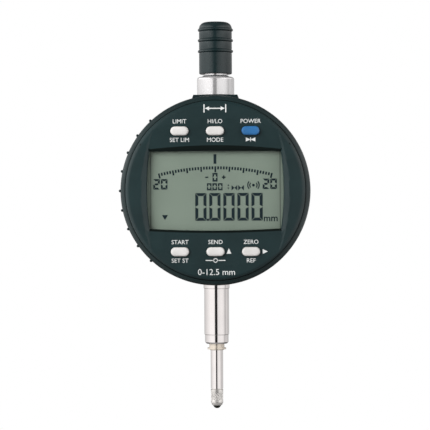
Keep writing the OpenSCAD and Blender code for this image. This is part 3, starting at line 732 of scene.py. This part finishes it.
def make_contact_point():
    """The knurled barrel that holds the ball, as rings whose radius follows two crossing helices."""
    low, high = place("contact_point")
    teeth, around, rows = 22, 264, 90
    knurl_depth, pitch, flank = 0.15, 0.95, 1.6
    r, seat_r, neck_r, stud_r = high.x, 1.23, 1.8, 1.1
    neck_z = place("spindle")[0].z
    knurl_low, knurl_high = low.z + 0.85, neck_z - 0.7
    lip_z, lip_end = low.z - 0.22, low.z + 0.6

    def knurl(a, z):
        """How deep the two crossing grooves are at an angle and a height."""
        rising = abs(((a / TURN * teeth + (z - knurl_low) / pitch) % 1) * 2 - 1)
        falling = abs(((a / TURN * teeth - (z - knurl_low) / pitch) % 1) * 2 - 1)
        return knurl_depth * min(1, flank * max(1 - rising, 1 - falling))

    lip = [(seat_r, lip_z), (seat_r + 0.1, lip_z), (1.62, low.z), (1.82, low.z + 0.4),
           (r - 0.03, low.z + 0.75)]
    rings = [[ring] * around for ring in lip]
    for i in range(rows + 1):
        z = knurl_low + (knurl_high - knurl_low) * i / rows
        fade = min(1, 3 * i / rows, 3 * (rows - i) / rows)
        rings.append([(r - fade * knurl(TURN * k / around, z), z) for k in range(around)])
    for radius, z in [(r, neck_z - 0.35), (neck_r, neck_z - 0.25), (neck_r, neck_z), (stud_r, neck_z)]:
        rings.append([(radius, z)] * around)
    points = []
    for ring in rings:
        for k, (radius, z) in enumerate(ring):
            a = TURN * k / around
            points.append((radius * math.cos(a), radius * math.sin(a), z))
    faces = [list(range(around)), [len(points) - around + k for k in range(around)]]
    for i in range(len(rings) - 1):
        for k in range(around):
            j = (k + 1) % around
            faces.append([i * around + k, i * around + j, (i + 1) * around + j, (i + 1) * around + k])
    point = make_object("knurled_point", points, faces, 50)
    outwards(point)
    finish_piece(point, "plunger", "turned_steel", KNURLED, replaces=["contact_point"])
    point.data.materials.append(SATIN_LIP)
    for face in point.data.polygons:
        if face.center.z < DIAL_Z + lip_end * MM:
            face.material_index = 1


make_contact_point()


# ---------------------------------------------------------------- display

PANEL_Y = place("lcd_panel")[0].y
CAPITAL_SHARE = 0.70  # height of a capital letter in the font, as a share of its size
SEGMENTS = {"0": "abcdef", "2": "abged", "-": "g"}


def prisms(name, outlines, front, thickness):
    """One object from flat outlines in x and z, all of one thickness."""
    points, faces = [], []
    for outline in outlines:
        start, n = len(points), len(outline)
        for y in (front, front + thickness):
            points += [(x, y, z) for x, z in outline]
        faces.append([start + k for k in range(n)])
        faces.append([start + n + k for k in reversed(range(n))])
        for k in range(n):
            j = (k + 1) % n
            faces.append([start + k, start + n + k, start + n + j, start + j])
    obj = make_object(name, points, faces)
    outwards(obj)
    return obj


def stroke(x0, z0, x1, z1, width):
    """A straight line of some width."""
    along = Vector((x1 - x0, z1 - z0)).normalized() * width / 2
    dx, dz = -along.y, along.x
    return [(x0 + dx, z0 + dz), (x1 + dx, z1 + dz), (x1 - dx, z1 - dz), (x0 - dx, z0 - dz)]


def digit(character, cx, cz, width, height, thick, gap):
    """A seven-segment character about its middle. Each segment has mitred ends."""
    w, h, t = width / 2, height / 2, thick

    def bar(z, up):
        inner = z - up * t
        return [(-w + gap, z), (w - gap, z), (w - t - gap, inner), (-w + t + gap, inner)]

    def post(x, side, low, high, low_cut, high_cut):
        inner = x - side * t
        low, high = low + gap, high - gap
        return [(x, low), (x, high), (inner, high - high_cut), (inner, low + low_cut)]

    middle = [(-w + t + gap, t / 2), (w - t - gap, t / 2), (w - t / 2 - gap, 0),
              (w - t - gap, -t / 2), (-w + t + gap, -t / 2), (-w + t / 2 + gap, 0)]
    shapes = {
        "a": bar(h, 1), "d": bar(-h, -1), "g": middle,
        "b": post(w, 1, 0, h, t / 2, t), "c": post(w, 1, -h, 0, t, t / 2),
        "f": post(-w, -1, 0, h, t / 2, t), "e": post(-w, -1, -h, 0, t, t / 2),
    }
    return [moved(shapes[s], cx, cz) for s in SEGMENTS[character]]


def number(text, cx, cz, width, height, thick, pitch, gap):
    """Seven-segment characters in a row about a middle."""
    first = cx - pitch * (len(text) - 1) / 2
    shapes = []
    for i, character in enumerate(text):
        shapes += digit(character, first + i * pitch, cz, width, height, thick, gap)
    return shapes


def tick_arc():
    """The analogue scale: 41 ticks on a shallow arc, each fifth one longer."""
    radius, top, last, reach, width = 74.3, 7.6, 20, 17.85, 0.54
    half_angle = math.asin(reach / radius)
    shapes = []
    for i in range(-last, last + 1):
        a = half_angle * i / last
        length = 1.9 if i == 0 else 1.6 if i % 5 == 0 else 0.95
        x, z = radius * math.sin(a), top - radius + radius * math.cos(a)
        shapes.append(stroke(x, z, x - length * math.sin(a), z - length * math.cos(a), width))
    return shapes


def bow_tie(x, z, width, height):
    """Two triangles that point at each other."""
    w, h = width / 2, height / 2
    return [moved([(-w, h), (0, 0), (-w, -h)], x, z), moved([(w, -h), (0, 0), (w, h)], x, z)]


def thin_arc(cx, cz, radius, start, end, width):
    """A curved line of some width, from one angle to another."""
    outer = arc(cx, cz, radius + width / 2, start, end, 8)
    inner = arc(cx, cz, radius - width / 2, end, start, 8)
    return outer + inner


def lcd_scale():
    """The analogue scale with its mark and end numbers, and minus, nought and plus below its middle."""
    middle_x, sign_z, line = -0.1, 4.15, 0.42
    plus_x, plus_arm = 2.65, 0.6
    shapes = tick_arc()
    shapes.append(stroke(middle_x, 11.4, middle_x, 8.4, 0.9))
    for x in (-17.35, 17.15):
        shapes += number("20", x, 2.0, 2.1, 3.3, 0.64, 2.4, 0.06)
    shapes += digit("0", middle_x, sign_z, 1.6, 2.75, 0.52, 0.01)
    shapes.append(stroke(-3.2, sign_z, -2.2, sign_z, line))
    shapes.append(stroke(plus_x - plus_arm, sign_z, plus_x + plus_arm, sign_z, line))
    shapes.append(stroke(plus_x, sign_z + plus_arm, plus_x, sign_z - plus_arm, line))
    return shapes


def lcd_small_signs():
    """The small reading with its point, a stepped arrow, two bow ties and a transmitter sign."""
    shapes = number("000", -0.2, 1.15, 1.45, 2.25, 0.45, 1.75, 0.01)
    shapes.append(stroke(-1.2, 0.05, -0.95, 0.05, 0.36))
    shapes += [[(3.8, 1.4), (4.1, 2.0), (4.4, 1.4)], [(3.8, 0.9), (4.4, 0.9), (4.1, 0.3)]]
    for x in (6.0, 8.1):
        shapes += bow_tie(x, 0.8, 1.8, 1.7)
    sender_x, sender_z, spread = 12.0, 1.6, 40
    shapes.append(arc(sender_x, sender_z, 0.45, 0, 330, 11))
    for radius in (1.15, 1.8):
        for middle in (0, 180):
            shapes.append(thin_arc(sender_x, sender_z, radius, middle - spread, middle + spread, 0.36))
    return shapes


def lcd_reading():
    """The five large digits with their decimal point, and the arrow at the lower left."""
    shapes = []
    for i in range(5):
        shapes += digit("0", -4.6 + 4.43 * i, -5.2, 3.55, 8.75, 0.96, 0.08)
    shapes.append(stroke(-2.75, -9.25, -2.05, -9.25, 0.7))
    shapes.append([(-16.9, -7.7), (-15.0, -7.7), (-15.95, -9.3)])
    return shapes


def letters(name, entries, depth_at, thickness, bolder=0.0):
    """Flat letters on a surface whose y depth_at gives. Entries are (text, x, z of the middle, height)."""
    points, faces = [], []
    for text, x, z, height in entries:
        curve = bpy.data.curves.new("letters", "FONT")
        curve.body = text
        curve.size = height / CAPITAL_SHARE
        curve.offset = bolder
        curve.align_x = "CENTER"
        curve.resolution_u = 3
        carrier = bpy.data.objects.new("letters", curve)
        bpy.context.scene.collection.objects.link(carrier)
        ready = carrier.evaluated_get(bpy.context.evaluated_depsgraph_get())
        mesh = bpy.data.meshes.new_from_object(ready)
        start, n = len(points), len(mesh.vertices)
        for layer in (0, thickness):
            for v in mesh.vertices:
                px, pz = x + v.co.x, z + v.co.y - height / 2
                points.append((px, depth_at(px, pz) + layer, pz))
        edges = {}
        for f in mesh.polygons:
            ids = list(f.vertices)
            faces.append([start + i for i in ids])
            faces.append([start + n + i for i in reversed(ids)])
            for k in range(len(ids)):
                edges[ids[k], ids[(k + 1) % len(ids)]] = True
        # An edge that only one face has is on the letter's outline, so it gets a side wall
        for a, b in edges:
            if (b, a) not in edges:
                faces.append([start + a, start + n + a, start + n + b, start + b])
        bpy.data.objects.remove(carrier)
    obj = make_object(name, points, faces)
    outwards(obj)
    return obj


def make_display():
    """What the LCD shows, just in front of its panel, and the shaded edges of its glass."""
    ink_y, ink_t, bolder = PANEL_Y - 0.03, 0.02, 0.05
    shapes = lcd_scale() + lcd_small_signs() + lcd_reading()
    segments = prisms("segments", shapes, ink_y, ink_t)
    units = letters("units", [("mm", 17.4, -8.7, 2.1)], lambda x, z: ink_y, ink_t, bolder)
    finish_piece(join("lcd_segments", [segments, units]), "display_unit", "lcd", LCD_INK)
    glass_x, half_h, line = 20.4, 12.6, 0.28
    edges = [stroke(side * glass_x, -half_h, side * glass_x, half_h, line) for side in (-1, 1)]
    finish_piece(prisms("lcd_glass_edges", edges, ink_y, ink_t), "display_unit", "lcd", LCD_EDGE)


make_display()


# ---------------------------------------------------------------- printed legends

COLUMNS = [key_middle(node)[0] for node in KEYS[:3]]
UPPER_Z = key_middle("key_menu")[1]
LOWER_Z = key_middle("key_data")[1]
ABOVE_KEY = 3.05
BELOW_KEY = -2.75


def on_face(x, z):
    """The front of the ink at a place on the face."""
    proud = 0.05
    return FACE_Y + face_depth(x, z) - proud


def key_words():
    """The words above and below the keys, and the measuring range at the bottom."""
    size = 1.3
    rows = [
        (UPPER_Z + ABOVE_KEY, ["LIMIT", "HI/LO", "POWER"]),
        (UPPER_Z + BELOW_KEY, ["SET LIM", "MODE", ""]),
        (LOWER_Z + ABOVE_KEY, ["START", "SEND", "ZERO"]),
        (LOWER_Z + BELOW_KEY, ["SET ST", "", "REF"]),
    ]
    entries = [(text, x, z, size) for z, texts in rows for x, text in zip(COLUMNS, texts) if text]
    entries.append(("0-12.5 mm", 0.3, -25.6, 1.9))
    return entries


def key_signs():
    """The signs in place of words: a bow tie, a ring on a line, and arrows beside the lower keys."""
    middle_x, right_x = COLUMNS[1:]
    bow_z, ring_z = UPPER_Z + BELOW_KEY, LOWER_Z + BELOW_KEY
    bar_half, bar_line, ring_line, side_line = 0.65, 0.24, 0.24, 0.26
    line_from, line_to = 0.9, 3.1
    signs = bow_tie(right_x, bow_z, 3.0, 2 * bar_half)
    signs.append(stroke(right_x, bow_z + bar_half, right_x, bow_z - bar_half, bar_line))
    signs.append(thin_arc(middle_x, ring_z, 0.62, 0, 359, ring_line))
    signs.append(stroke(middle_x - line_to, ring_z, middle_x - line_from, ring_z, side_line))
    signs.append(stroke(middle_x + line_from, ring_z, middle_x + line_to, ring_z, side_line))
    signs.append([(4.2, LOWER_Z + 1.0), (4.95, LOWER_Z - 0.65), (3.45, LOWER_Z - 0.65)])
    signs.append([(14.8, LOWER_Z + 0.75), (16.4, LOWER_Z), (14.8, LOWER_Z - 0.75)])
    return signs


def length_sign():
    """A plain sign for a length between two faces, at the top of the face."""
    z, half_w, half_h, line = 25.7, 3.4, 1.3, 0.34
    line_end, head_tip, head_base, head_half = 0.5, 0.3, 1.6, 0.65
    signs = [stroke(-half_w + line_end, z, half_w - line_end, z, line)]
    for side in (-1, 1):
        edge = side * half_w
        signs.append(stroke(edge, z + half_h, edge, z - half_h, line))
        tip_x, base_x = edge - side * head_tip, edge - side * head_base
        signs.append([(tip_x, z), (base_x, z + head_half), (base_x, z - head_half)])
    return signs


def make_legends():
    """Everything that is printed on the face, in one piece."""
    ink_t = 0.08
    words = letters("words", key_words(), on_face, ink_t)
    printed = prisms("signs", key_signs() + length_sign(), 0, ink_t)
    for v in printed.data.vertices:
        v.co.y += on_face(v.co.x / MM, (v.co.z - DIAL_Z) / MM) * MM
    finish_piece(join("printed_legends", [words, printed]), "display_unit", "key_grey", INK_WHITE)


make_legends()


def make_back_marks():
    """Printed marks that show which way a coin turns the battery cover."""
    cover_y = place("battery_cover")[1].y
    back_y = place("back_cover")[1].y
    ink_depth, ink_proud = 0.03, 0.005

    # An arrow that bends with the cover's edge, and a plus below the slot
    radius, start, end, line = 9.0, 60, 120, 0.45
    turn = math.radians(start)
    out = Vector((math.cos(turn), math.sin(turn)))
    along = Vector((math.sin(turn), -math.cos(turn)))
    end_of_line, head_length, head_half = out * radius, 1.7, 0.8
    head = [tuple(end_of_line + along * head_length), tuple(end_of_line + out * head_half),
            tuple(end_of_line - out * head_half)]
    plus_z, arm, plus_line = -6.5, 1.3, 0.5
    plus = [stroke(-arm, plus_z, arm, plus_z, plus_line),
            stroke(0, plus_z - arm, 0, plus_z + arm, plus_line)]
    shapes = [thin_arc(0, 0, radius, start, end, line), head] + plus
    on_cover = prisms("turn_arrow", shapes, cover_y - ink_depth, 2 * ink_depth)
    finish_piece(on_cover, "battery_hatch", "key_grey", INK_WHITE)

    # A dot where the cover is shut, and a ring where it comes free
    mark_r, free_at = 14.2, math.radians(45)
    shut = arc(0, mark_r, 0.8, 0, 345, 23)
    free = thin_arc(mark_r * math.sin(free_at), mark_r * math.cos(free_at), 0.65, 0, 359, 0.3)
    on_back = prisms("cover_marks", [shut, free], back_y - ink_depth, ink_depth + ink_proud)
    finish_piece(on_back, "base", "key_grey", INK_WHITE)


make_back_marks()


def make_screw_shadows():
    """Painted shade: dark crosses at the bottom of the cross recesses of the back cover's screws, where
    shadow falls.
    """
    head_r, recess_depth, painted_shade_t = 2.0, 0.6, 0.2
    arm, width = 1.05, 0.46
    high = place("back_screws")[1]
    x_out, z_out = high.x - head_r, high.z - head_r
    recess_y = high.y - recess_depth
    for i, (x, z) in enumerate([(x_out, z_out), (-x_out, z_out), (-x_out, -z_out), (x_out, -z_out)]):
        cross = [stroke(x - arm, z, x + arm, z, width), stroke(x, z - arm, x, z + arm, width)]
        # Thin dark crosses on each recess floor, as painted shade
        painted_shade = prisms(f"screw_recess_shade_{i + 1}", cross, recess_y, painted_shade_t)
        finish_piece(painted_shade, "base", "black_body", MATERIALS["seal_rubber"])


make_screw_shadows()


# ---------------------------------------------------------------- camera, floor and light

def make_camera():
    """Level, almost square on, with the spindle's axis a hair off plumb."""
    distance, lens_mm, sensor_mm = 570, 147.7, 36
    aim_x, aim_z = -0.4, -7.75
    azimuth, roll = math.radians(1.0), math.radians(0.27)
    data = bpy.data.cameras.new("camera")
    data.lens = lens_mm
    data.sensor_width = sensor_mm
    camera = bpy.data.objects.new("camera", data)
    bpy.context.scene.collection.objects.link(camera)
    x = (distance * math.sin(azimuth) + aim_x) * MM
    camera.location = (x, -distance * math.cos(azimuth) * MM, DIAL_Z + aim_z * MM)
    camera.rotation_mode = "XYZ"
    camera.rotation_euler = (math.radians(90), roll, azimuth)
    bpy.context.scene.camera = camera


def make_floor():
    """A pale disc below the object, too low to come into the camera's own view. Sizes are in metres."""
    radius, below_tip, glow = 0.75, 0.100, 0.42
    z = CAD_BOX[0].z - below_tip
    mesh = bpy.data.meshes.new("floor")
    rim = arc(0, 0, radius, 0, 357, 119)
    mesh.from_pydata([(x, y, z) for x, y in rim], [], [list(range(len(rim)))])
    floor = bpy.data.objects.new("floor", mesh)
    bpy.context.scene.collection.objects.link(floor)
    paint = Paint("pale_floor", (0.80, 0.80, 0.80), 0.7)
    paint.vary_roughness(paint.noise(3), 0.05)
    paint.set(Emission_Color=(1, 1, 1, 1), Emission_Strength=glow)
    dress(floor, paint.material)
    floor.visible_glossy = False
    floor.visible_diffuse = False


# Brightness of the studio round the object: (degrees to the right of the camera, brightness).
# At the camera's level there is a white screen with a narrow dark gap; above and below it, only the
# sides are lit.
LEVEL = [
    (-180, 0.40), (-150, 0.60), (-128, 0.70), (-97, 0.85), (-60, 1.05), (-30, 1.07), (-17, 0.95),
    (-15, 0.02), (7, 0.02), (9, 0.85), (20, 0.90), (44, 0.97), (65, 0.92), (78, 0.70), (88, 0.42),
    (96, 0.70), (105, 0.72), (118, 0.58), (145, 0.60), (180, 0.40),
]
OFF_LEVEL = [
    (-180, 0.35), (-140, 0.5), (-125, 1.8), (-105, 1.9), (-80, 2.1), (-66, 2.5), (-45, 2.3),
    (-30, 0.9), (-16, 0.40), (-11, 0.08), (6, 0.08), (11, 0.40), (26, 0.70), (44, 1.8), (62, 2.1),
    (90, 1.7), (120, 1.4), (140, 0.45), (180, 0.35),
]
BRIGHTEST = 2.5


def make_world():
    """A white studio: bright at both sides, with a dark gap behind the camera, and dimmer above and below.

    The camera itself sees plain white.
    """
    world = bpy.data.worlds.new("studio")
    bpy.context.scene.world = world
    world.use_nodes = True
    nodes, links = world.node_tree.nodes, world.node_tree.links
    nodes.clear()
    where = nodes.new("ShaderNodeTexCoord")
    split = nodes.new("ShaderNodeSeparateXYZ")
    links.new(where.outputs["Generated"], split.inputs["Vector"])

    def math_node(operation, a, b):
        """One step of arithmetic on two numbers or sockets."""
        node = nodes.new("ShaderNodeMath")
        node.operation = operation
        for socket, value in zip(node.inputs, (a, b)):
            if isinstance(value, (int, float)):
                socket.default_value = value
            else:
                links.new(value, socket)
        return node.outputs["Value"]

    def lights_round(brightness):
        """The brightness at each angle about the vertical."""
        ramp = nodes.new("ShaderNodeValToRGB")
        stops = ramp.color_ramp.elements
        stops[0].position, stops[1].position = 0, 1
        for degrees, value in brightness[1:-1]:
            stops.new((degrees + 180) / 360)
        for stop, (degrees, value) in zip(stops, brightness):
            grey = value / BRIGHTEST
            stop.color = (grey, grey, grey, 1)
        links.new(share, ramp.inputs["Fac"])
        return ramp.outputs["Color"]

    def between(value, start, end, low=0.0, high=1.0):
        """Goes from low to high as the value goes from start to end."""
        node = nodes.new("ShaderNodeMapRange")
        for name, limit in [("From Min", start), ("From Max", end), ("To Min", low), ("To Max", high)]:
            node.inputs[name].default_value = limit
        links.new(value, node.inputs["Value"])
        return node.outputs["Result"]

    toward_camera = math_node("MULTIPLY", split.outputs["Y"], -1.0)
    angle = math_node("ARCTAN2", split.outputs["X"], toward_camera)
    share = math_node("MULTIPLY_ADD", angle, 1 / TURN)
    share.node.inputs[2].default_value = 0.5
    slope = math_node("ABSOLUTE", split.outputs["Z"], 0)
    ring = nodes.new("ShaderNodeMix")
    ring.data_type = "RGBA"
    links.new(between(slope, 0.13, 0.22), ring.inputs["Factor"])
    links.new(lights_round(LEVEL), ring.inputs["A"])
    links.new(lights_round(OFF_LEVEL), ring.inputs["B"])
    overhead = nodes.new("ShaderNodeMix")
    overhead.data_type = "RGBA"
    links.new(between(split.outputs["Z"], 0.72, 0.86), overhead.inputs["Factor"])
    links.new(ring.outputs["Result"], overhead.inputs["A"])
    overhead.inputs["B"].default_value = (0.3, 0.3, 0.3, 1)
    below = between(split.outputs["Z"], -0.55, -0.10, 0.18, 1.0)
    above = between(split.outputs["Z"], 0.25, 0.65, 1.0, 0.22)
    strength = math_node("MULTIPLY", math_node("MULTIPLY", below, above), BRIGHTEST)

    studio = nodes.new("ShaderNodeBackground")
    links.new(overhead.outputs["Result"], studio.inputs["Color"])
    links.new(strength, studio.inputs["Strength"])
    backdrop = nodes.new("ShaderNodeBackground")
    backdrop.inputs["Color"].default_value = (1, 1, 1, 1)
    seen = nodes.new("ShaderNodeLightPath")
    mix = nodes.new("ShaderNodeMixShader")
    output = nodes.new("ShaderNodeOutputWorld")
    links.new(seen.outputs["Is Camera Ray"], mix.inputs["Fac"])
    links.new(studio.outputs["Background"], mix.inputs[1])
    links.new(backdrop.outputs["Background"], mix.inputs[2])
    links.new(mix.outputs["Shader"], output.inputs["Surface"])
    bpy.context.scene.view_settings.view_transform = "Standard"


def make_softbox(name, x, y, z, size, watts):
    """A square area light that faces the dial's centre. Its place and size are in metres."""
    data = bpy.data.lights.new(name, "AREA")
    data.shape = "SQUARE"
    data.size = size
    data.energy = watts
    lamp = bpy.data.objects.new(name, data)
    bpy.context.scene.collection.objects.link(lamp)
    lamp.location = (x, y, z)
    lamp.visible_camera = False
    lamp.visible_glossy = False
    lamp.rotation_mode = "QUATERNION"
    lamp.rotation_quaternion = (Vector((0, 0, DIAL_Z)) - lamp.location).to_track_quat("-Z", "Y")


make_camera()
make_floor()
make_world()
make_softbox("left_light", x=-0.25, y=-0.31, z=0.21, size=0.25, watts=1.24)
